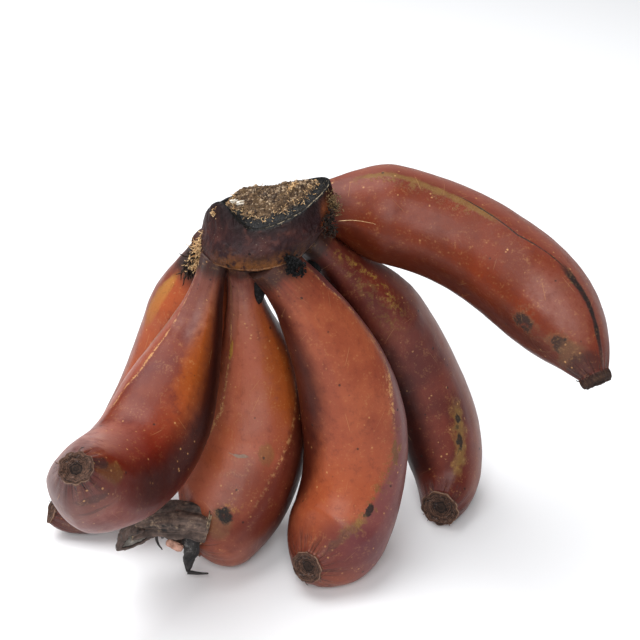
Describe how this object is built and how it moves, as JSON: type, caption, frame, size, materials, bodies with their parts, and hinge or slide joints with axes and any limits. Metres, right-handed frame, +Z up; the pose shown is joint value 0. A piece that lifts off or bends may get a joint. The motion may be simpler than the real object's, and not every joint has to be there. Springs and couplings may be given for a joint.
{
  "type": "red banana",
  "caption": "Hand of short plump red bananas on one cut crown, standing on its lower fingertips, with a dried flower still on one tip.",
  "frame": {"origin": "on the resting plane, under the middle of the hand's outline", "axes": "+Z up, +X towards the fingers on the right, -Y towards the front, where the blossom ends point"},
  "size_m": [0.2282, 0.15, 0.1581],
  "materials": {
    "skin": "satin",
    "crown": "rough, dried",
    "dried_flower": "rough, dried"
  },
  "bodies": {
    "root": {"crown": "crown", "finger_rear_left": "skin", "finger_front_left": "skin", "finger_front_middle": "skin", "finger_front_right": "skin", "finger_rear_right": "skin", "finger_far_right": "skin", "dried_flower": "dried_flower"}
  },
  "joints": []
}
